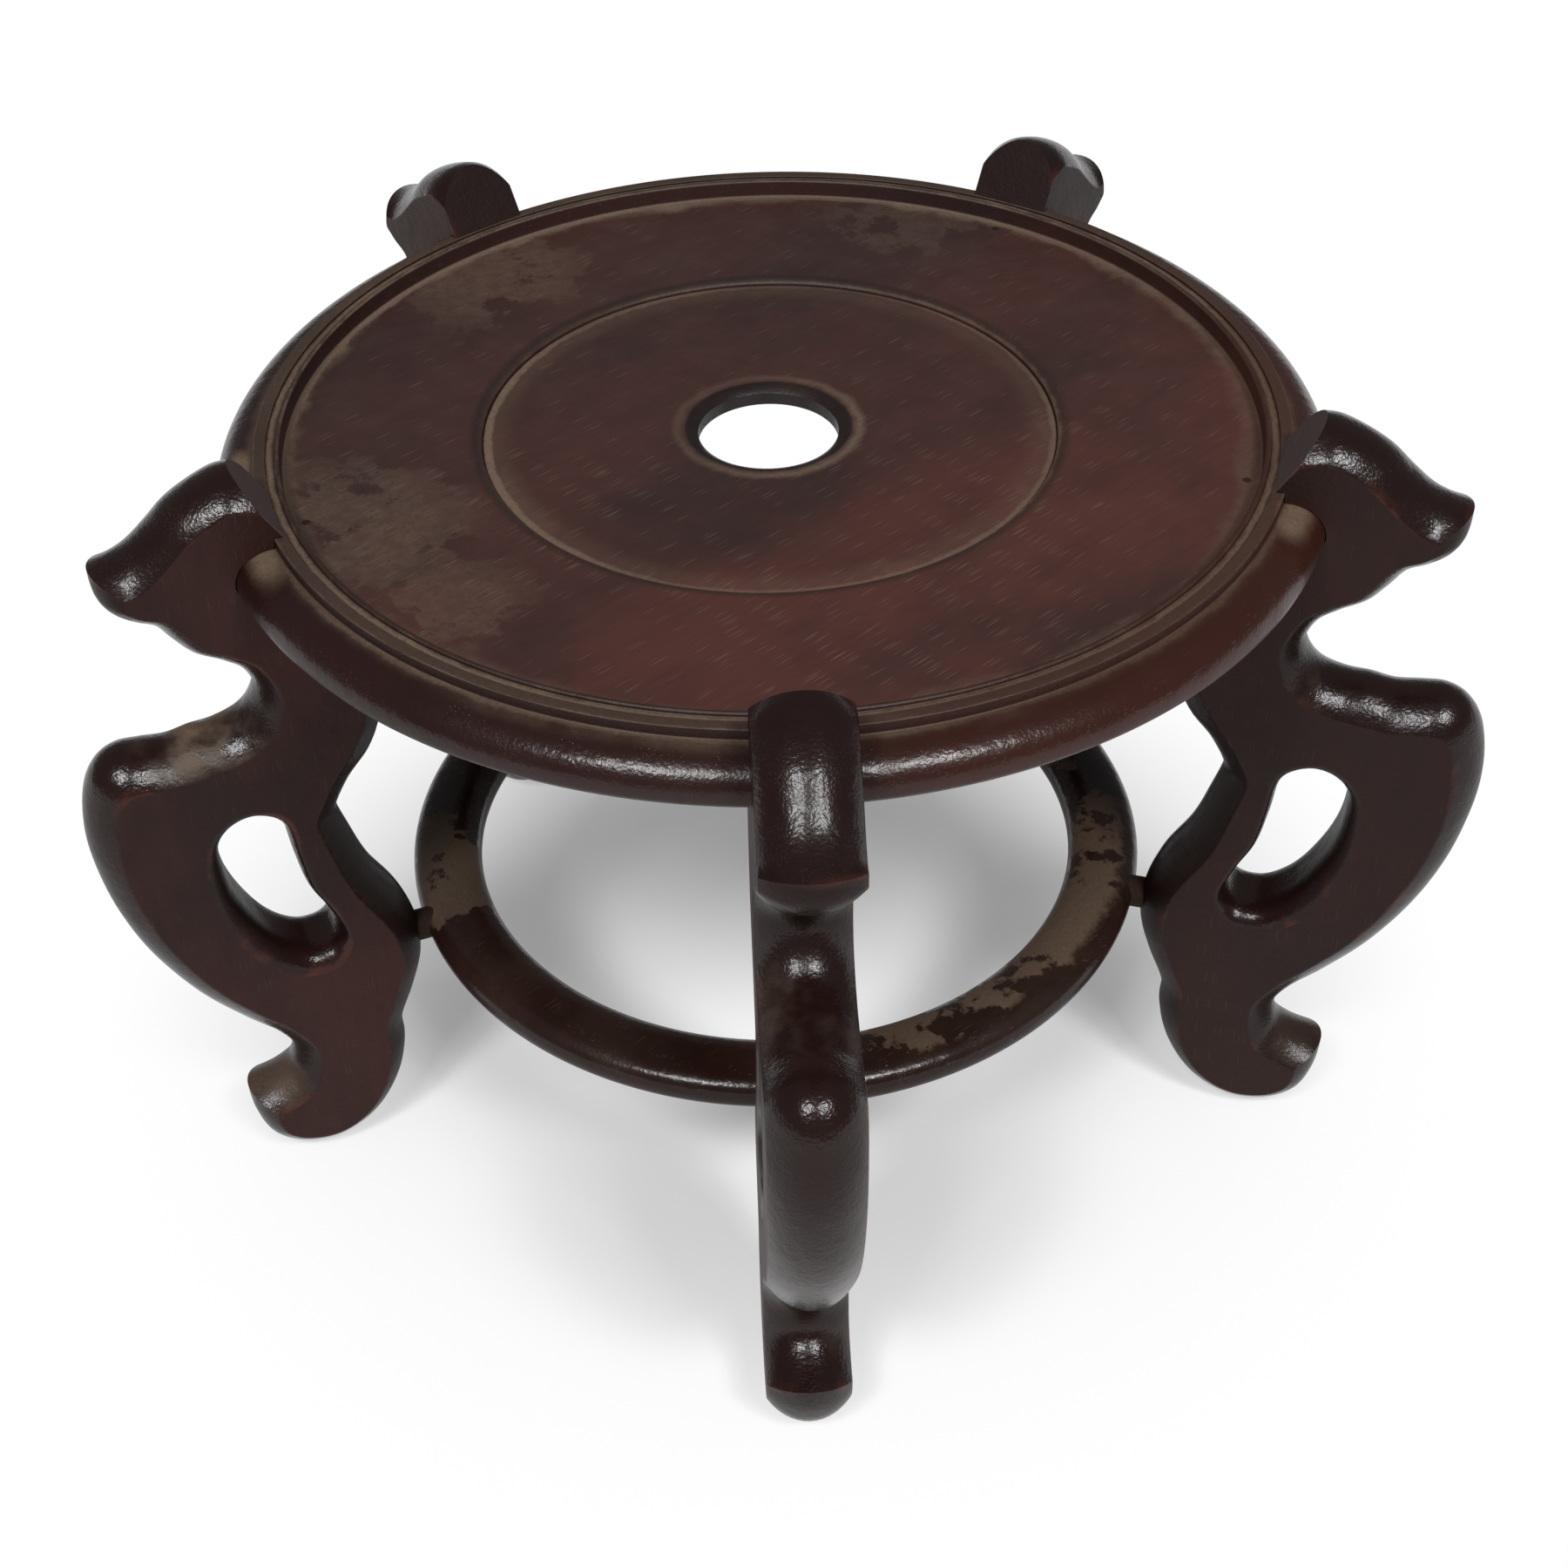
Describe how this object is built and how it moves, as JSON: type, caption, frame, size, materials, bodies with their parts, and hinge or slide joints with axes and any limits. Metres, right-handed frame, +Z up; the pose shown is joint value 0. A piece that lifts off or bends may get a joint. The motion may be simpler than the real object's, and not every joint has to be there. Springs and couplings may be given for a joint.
{
  "type": "hardwood display stand",
  "caption": "Round dark hardwood stand: a moulded tray-like board with a holed centre panel on pierced S-scroll legs, tied by a low stretcher ring.",
  "frame": {"origin": "on the axis of the board, at floor level under the feet", "axes": "+Z up along the axis of the board and of its centre hole, -Y towards the front leg"},
  "size_m": [0.324, 0.3094, 0.206],
  "materials": {
    "board_wood": "satin, red-brown lacquered hardwood",
    "leg_wood": "satin, near-black lacquered hardwood",
    "ring_wood": "satin, dark lacquered hardwood",
    "peg_wood": "matt, bare turned hardwood"
  },
  "bodies": {
    "root": {"top_board": "board_wood", "centre_panel": "board_wood", "stretcher_ring": "ring_wood", "leg_1": "leg_wood", "leg_2": "leg_wood", "leg_3": "leg_wood", "leg_4": "leg_wood", "leg_5": "leg_wood", "leg_dowel_1": "peg_wood", "leg_dowel_2": "peg_wood", "leg_dowel_3": "peg_wood", "leg_dowel_4": "peg_wood", "leg_dowel_5": "peg_wood", "lock_pin_1": "peg_wood", "lock_pin_2": "peg_wood", "lock_pin_3": "peg_wood", "lock_pin_4": "peg_wood", "lock_pin_5": "peg_wood", "ring_peg_1": "peg_wood", "ring_peg_2": "peg_wood", "ring_peg_3": "peg_wood", "ring_peg_4": "peg_wood", "ring_peg_5": "peg_wood"}
  },
  "joints": []
}
